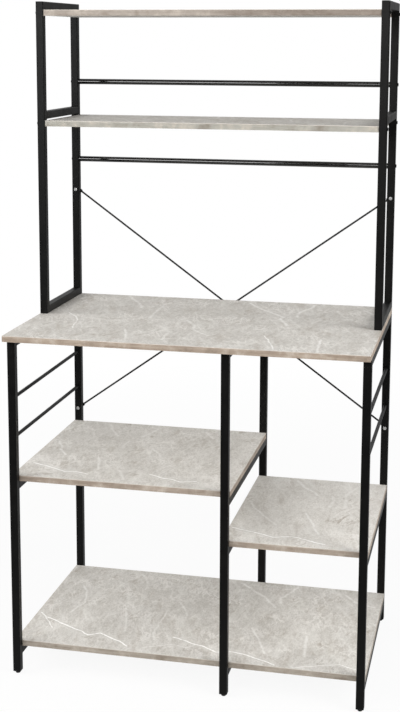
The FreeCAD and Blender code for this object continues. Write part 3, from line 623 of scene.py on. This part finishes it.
def edge_band(board, dark, light, fade=0.0):
    """The strip round one board, between two tones of its print. Its right end may fade to a darker one."""
    band = f"{board}_edge_band"
    _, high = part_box(band)
    material, tree, shader, place = start_material(f"{board}_band_print", specular=0.3)
    stretched = put(tree, "VectorMath", place, PRINT_STRETCH, mode="MULTIPLY").outputs[0]
    streaks = put(tree, "TexNoise", Vector=stretched, Scale=1.0, Detail=4.0, Roughness=0.6).outputs["Fac"]
    base = blend_tones(tree, spread(tree, streaks, 0.3, 0.7), tone(*dark), tone(*light))
    patch = put(tree, "TexNoise", Vector=place, Scale=24.0, Detail=6.0, Roughness=0.68).outputs["Fac"]
    base = blend_tones(tree, spread(tree, patch, 0.52, 0.68, 0.0, 0.65), base, tone(*BAND_PALE_PATCH))
    base = blend_tones(tree, spread(tree, patch, 0.32, 0.48, 0.6, 0.0), base, tone(*BAND_DARK_PATCH))
    across, _, height = put(tree, "SeparateXYZ", place).outputs
    if fade:
        faded = spread(tree, across, FADE_START, FADE_END, 0.0, fade)
        base = blend_tones(tree, faded, base, tone(*BAND_FADED))
    arris = spread(tree, height, high.z - ARRIS_FOOT, high.z - ARRIS_TOP, 0.0, 0.7)
    base = blend_tones(tree, arris, base, tone(*ARRIS_TONE))
    gloss = spread(tree, streaks, 0.3, 0.7, 0.45, 0.56)
    feed(tree, shader, base, gloss, streaks, strength=0.08, distance=0.0002)
    dress(material, band)


edge_band("worktop", dark=(136, 121, 107), light=(163, 149, 135))
edge_band("left_shelf", dark=(133, 120, 107), light=(160, 147, 135))
edge_band("right_shelf", dark=(137, 124, 111), light=(162, 150, 137))
edge_band("bottom_shelf", dark=(136, 127, 115), light=(162, 153, 142))
edge_band("hutch_middle_shelf", dark=(136, 133, 124), light=(158, 156, 148))
edge_band("hutch_top_shelf", dark=(136, 126, 116), light=(158, 149, 140), fade=0.4)


# Hutch side frames: two closed frames of the same tube that stand on the worktop, each welded from two
# posts and three rails. Their corners are mitred, welded along the mitre and in the inner corner, and the
# frames are coated black.
MITRE_BARE = 0.12


def corner_seam(post, rail, at_front, at_bottom):
    """Along the mitre on one side, across the inner corner and out along the mitre on the other side."""
    (post_low, post_high), (rail_low, rail_high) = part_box(post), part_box(rail)
    inner_y, outer_y = (post_high.y, post_low.y) if at_front else (post_low.y, post_high.y)
    inner_z, outer_z = (rail_high.z, rail_low.z) if at_bottom else (rail_low.z, rail_high.z)
    start_y = outer_y + (inner_y - outer_y) * MITRE_BARE
    start_z = outer_z + (inner_z - outer_z) * MITRE_BARE
    left, right = post_low.x + BEAD_SUNK, post_high.x - BEAD_SUNK
    return [(left, start_y, start_z), (left, inner_y, inner_z),
            (right, inner_y, inner_z), (right, start_y, start_z)], False


def cross_seams(rail):
    """All round the ends of a rail between two posts."""
    low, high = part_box(rail)
    left, right = low.x + BEAD_SUNK, high.x - BEAD_SUNK
    for face in (low.y, high.y):
        yield [(left, face, low.z), (right, face, low.z), (right, face, high.z), (left, face, high.z)], True


hutch_seams = []
for side in ("left", "right"):
    posts = {row: f"hutch_{side}_{row}_post" for row in ("front", "rear")}
    rails = {level: f"hutch_{side}_{level}_rail" for level in ("bottom", "middle", "top")}
    dress(black_powder_coat, *posts.values(), *rails.values())
    hutch_seams += cross_seams(rails["middle"])
    hutch_seams += [corner_seam(post, rails[level], row == "front", level == "bottom")
                    for row, post in posts.items() for level in ("bottom", "top")]
weld("hutch_welds", hutch_seams)


# Back bars: two round steel tubes across the back of the hutch, tapped at both ends. Their coat is
# glossier, so each shows a long bright line.
gloss_black = coat("gloss_black", specular=0.4, dark=(4, 4, 4), light=(7, 7, 7), smooth=0.1, rough=0.15)
gloss_black.node_tree.nodes["Principled BSDF"].inputs["Coat Weight"].default_value = 0.8
dress(gloss_black, "upper_back_bar", "lower_back_bar")


# Cross braces: two thin coated steel rods with flattened and drilled ends. They are bolted to the rear
# posts and rear legs, cross behind the rack and stop it swaying.
brace_black = coat("brace_black", specular=0.3, dark=(18, 18, 18), light=(30, 30, 30), smooth=0.32,
                   rough=0.42)
dress(brace_black, "falling_brace", "rising_brace")


# Screws, bolts and nuts: zinc plated steel with a cross recess under the boards, in the hutch and on the
# braces, and blackened bolts through the hutch posts.
blackened_steel = plated("blackened_steel", dark=(22, 22, 22), light=(38, 38, 38), metal=0.6, smooth=0.35,
                         rough=0.48)
dress(zinc, "board_screws", "hutch_bolts", "hutch_nuts", "brace_bolts", "brace_nuts")
dress(blackened_steel, "post_bolts")


# The studio: a pale floor that carries the rack's shadow, a white surround, a wide soft light at each side
# and two small ones in front. In reflections its rear ceiling is bright, its walls are dimmer and its front
# half is dark, so that the black coat shows its edges.
FLOOR_SIDE = 14.0
FLOOR_TONE = (216, 216, 215)
SHADOW_EDGE, WHITE_EDGE, SHADOWED_WHITE = 0.9, 3.2, 0.92
ROOM_LIGHT = 0.36
DARK_END, DIM_FLOOR, DIM_WALL = 0.08, 0.5, 0.3
FLOOR_DARK_TO, FLOOR_DIM_FROM = -1.4, -0.5
FRONT_DARK_TO, REAR_BRIGHT_FROM = 0.1, 0.6
HORIZON, CEILING_FROM = 0.0, 0.45
WHITE = (1.0, 1.0, 1.0, 1.0)


def seen_rays(tree):
    """1 for what the camera, a reflection or glass sees, and 0 for light."""
    rays = tree.nodes.new("ShaderNodeLightPath").outputs
    either = reckon(tree, "MAXIMUM", rays["Is Camera Ray"], rays["Is Glossy Ray"])
    return reckon(tree, "MAXIMUM", either, rays["Is Transmission Ray"])


def white_for_camera(tree, shown):
    """White for the camera everywhere, and as bright as it is in the studio for reflections."""
    camera_ray = tree.nodes.new("ShaderNodeLightPath").outputs["Is Camera Ray"]
    return reckon(tree, "MAXIMUM", shown, camera_ray)


floor_white = bpy.data.materials.new("floor_white")
floor_white.use_nodes = True
tree = floor_white.node_tree
tree.nodes.clear()
place = tree.nodes.new("ShaderNodeTexCoord").outputs["Object"]
from_rack = put(tree, "VectorMath", place, mode="LENGTH").outputs["Value"]
whiteness = spread(tree, from_rack, SHADOW_EDGE, WHITE_EDGE, SHADOWED_WHITE, 1.0)
depth = put(tree, "SeparateXYZ", place).outputs["Y"]
floor_gloss = spread(tree, depth, FLOOR_DARK_TO, FLOOR_DIM_FROM, DARK_END, DIM_FLOOR)
painted = put(tree, "BsdfDiffuse", Color=tone(*FLOOR_TONE)).outputs[0]
bright = put(tree, "Emission", Color=WHITE, Strength=white_for_camera(tree, floor_gloss)).outputs[0]
share = reckon(tree, "MULTIPLY", seen_rays(tree), whiteness)
mixed = put(tree, "MixShader", share, painted, bright).outputs[0]
tree.links.new(mixed, tree.nodes.new("ShaderNodeOutputMaterial").inputs["Surface"])

half = FLOOR_SIDE / 2
floor_corners = [(-half, -half, 0), (half, -half, 0), (half, half, 0), (-half, half, 0)]
floor_mesh = bpy.data.meshes.new("floor")
floor_mesh.from_pydata(floor_corners, [], [(0, 1, 2, 3)])
floor_mesh.materials.append(floor_white)
floor = new_object("floor", floor_mesh)

world = bpy.data.worlds.new("studio")
bpy.context.scene.world = world
world.use_nodes = True
tree = world.node_tree
tree.nodes.clear()
way = put(tree, "SeparateXYZ", tree.nodes.new("ShaderNodeTexCoord").outputs["Generated"]).outputs
front_to_back = spread(tree, way["Y"], FRONT_DARK_TO, REAR_BRIGHT_FROM, DARK_END, 1.0)
wall_to_ceiling = spread(tree, way["Z"], HORIZON, CEILING_FROM, DIM_WALL, 1.0)
studio_gloss = reckon(tree, "MULTIPLY", front_to_back, wall_to_ceiling)
light = put(tree, "Background", Color=WHITE, Strength=ROOM_LIGHT).outputs[0]
white = put(tree, "Background", Color=WHITE, Strength=white_for_camera(tree, studio_gloss)).outputs[0]
mixed = put(tree, "MixShader", seen_rays(tree), light, white).outputs[0]
tree.links.new(mixed, tree.nodes.new("ShaderNodeOutputWorld").inputs["Surface"])


def soft_light(name, power, width, height, place, aim, mirrored=True):
    """A rectangular light that faces a point. One that isn't mirrored leaves no glare on glossy pieces."""
    lamp = bpy.data.lights.new(name, "AREA")
    lamp.shape = "RECTANGLE"
    lamp.size = width
    lamp.size_y = height
    lamp.energy = power
    x, y, z = (here - there for here, there in zip(place, aim))
    pan = Matrix.Rotation(math.atan2(x, -y), 4, "Z")
    tilt = Matrix.Rotation(math.atan2(math.hypot(x, y), z), 4, "X")
    holder = new_object(name, lamp)
    holder.matrix_world = Matrix.Translation(place) @ (pan @ tilt)
    holder.visible_camera = False
    holder.visible_glossy = mirrored


for side, power, x in (("left", 68.0, -2.55), ("right", 84.0, 2.55)):
    soft_light(f"{side}_light", power, width=1.9, height=1.6, place=(x, -1.05, 1.9), aim=(0.0, 0.0, 0.6),
               mirrored=False)
soft_light("strip_light", 30.0, width=1.05, height=0.95, place=(-0.9, -2.7, 1.85), aim=(0.0, 0.0, 1.3))
soft_light("hutch_light", 9.0, width=0.55, height=0.6, place=(0.25, -2.7, 2.0), aim=(0.4, 0.0, 1.5))


# The camera: it stands in front of the rack and to its right, at the height of the hutch, and looks
# slightly down. The lens is shifted down so that the upright tubes stay nearly parallel.
FRAME_HEIGHT = 712
LENS_IN_PIXELS = 1338.4
AXIS_ABOVE_MIDDLE = 104
CAMERA_PLACE = (0.7322, -3.3074, 1.6130)
YAW, PITCH, ROLL = (math.radians(angle) for angle in (12.821, -9.036, 0.181))

lens = bpy.data.cameras.new("camera")
lens.sensor_width = 36.0
lens.lens = LENS_IN_PIXELS / FRAME_HEIGHT * lens.sensor_width
lens.shift_y = -AXIS_ABOVE_MIDDLE / FRAME_HEIGHT
camera = new_object("camera", lens)
pan = Matrix.Rotation(YAW, 4, "Z")
tilt = Matrix.Rotation(math.pi / 2 + PITCH, 4, "X")
roll = Matrix.Rotation(ROLL, 4, "Z")
camera.matrix_world = Matrix.Translation(CAMERA_PLACE) @ (pan @ tilt @ roll)
bpy.context.scene.camera = camera
bpy.context.scene.view_settings.view_transform = "Standard"
